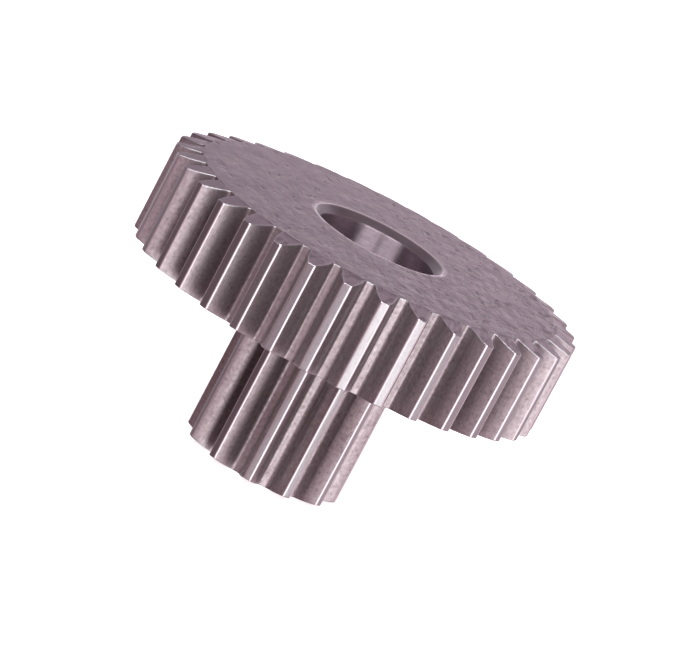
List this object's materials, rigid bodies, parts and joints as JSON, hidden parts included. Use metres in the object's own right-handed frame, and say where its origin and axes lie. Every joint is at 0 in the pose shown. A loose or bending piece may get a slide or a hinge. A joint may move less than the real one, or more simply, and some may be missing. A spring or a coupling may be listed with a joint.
{
  "type": "double gear",
  "caption": "One-piece double spur gear: a wide toothed wheel on a long small pinion, with a chamfered seat and a shaft hole along the axis.",
  "frame": {"origin": "centre of the pinion's free end, where the gear stands", "axes": "+Z along the gear's axis from the pinion to the wheel; a pinion tooth points along -Y and another along +X"},
  "size_m": [0.037, 0.037, 0.0222],
  "materials": {
    "sintered_steel": "pressed and sintered, matte faces with bright flanks"
  },
  "bodies": {
    "root": {"double_gear": "sintered_steel"}
  },
  "joints": []
}
